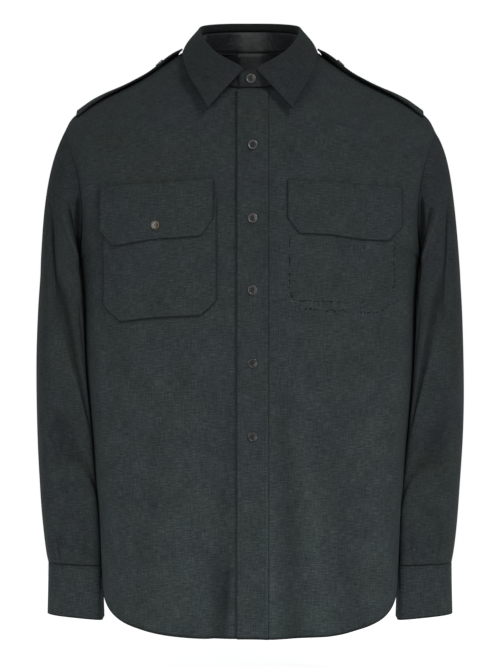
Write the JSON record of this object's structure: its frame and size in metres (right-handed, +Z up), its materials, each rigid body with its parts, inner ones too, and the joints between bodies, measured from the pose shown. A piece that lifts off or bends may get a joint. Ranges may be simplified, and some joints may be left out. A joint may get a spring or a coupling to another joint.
{
  "type": "shirt",
  "caption": "Long-sleeved buttoned shirt in dark green-grey wool, with shoulder straps, a chest pocket and a flap where the other pocket was taken off.",
  "frame": {"origin": "between the shoulders inside the neck end, where the shirt is held or hung", "axes": "+Z up towards the collar, -Y the way the front faces, +X towards the wearer's left"},
  "size_m": [0.5414, 0.2485, 0.7922],
  "materials": {
    "wool_cloth": "matt plain weave with thick and thin threads",
    "smooth_lining_cloth": "smooth, softly shining",
    "smoky_horn": "glossy, clouded",
    "tan_horn": "glossy, clouded"
  },
  "bodies": {
    "root": {"front_left": "wool_cloth", "front_right": "wool_cloth", "back": "wool_cloth", "yoke": "wool_cloth", "collar_stand": "wool_cloth", "collar_fall": "wool_cloth", "placket": "wool_cloth", "pocket_right": "wool_cloth", "flap_right": "wool_cloth", "flap_left": "wool_cloth", "sleeve_left": "wool_cloth", "sleeve_right": "wool_cloth", "sleeve_placket_left": "wool_cloth", "sleeve_placket_right": "wool_cloth", "cuff_left": "wool_cloth", "cuff_right": "wool_cloth", "epaulette_left": "wool_cloth", "epaulette_right": "wool_cloth", "yoke_inner": "smooth_lining_cloth", "button_collar": "smoky_horn", "button_front_1": "smoky_horn", "button_front_2": "smoky_horn", "button_front_3": "smoky_horn", "button_front_4": "smoky_horn", "button_front_5": "smoky_horn", "button_epaulette_left": "smoky_horn", "button_epaulette_right": "smoky_horn", "button_cuff_left": "smoky_horn", "button_cuff_right": "smoky_horn", "button_pocket": "tan_horn"}
  },
  "joints": []
}
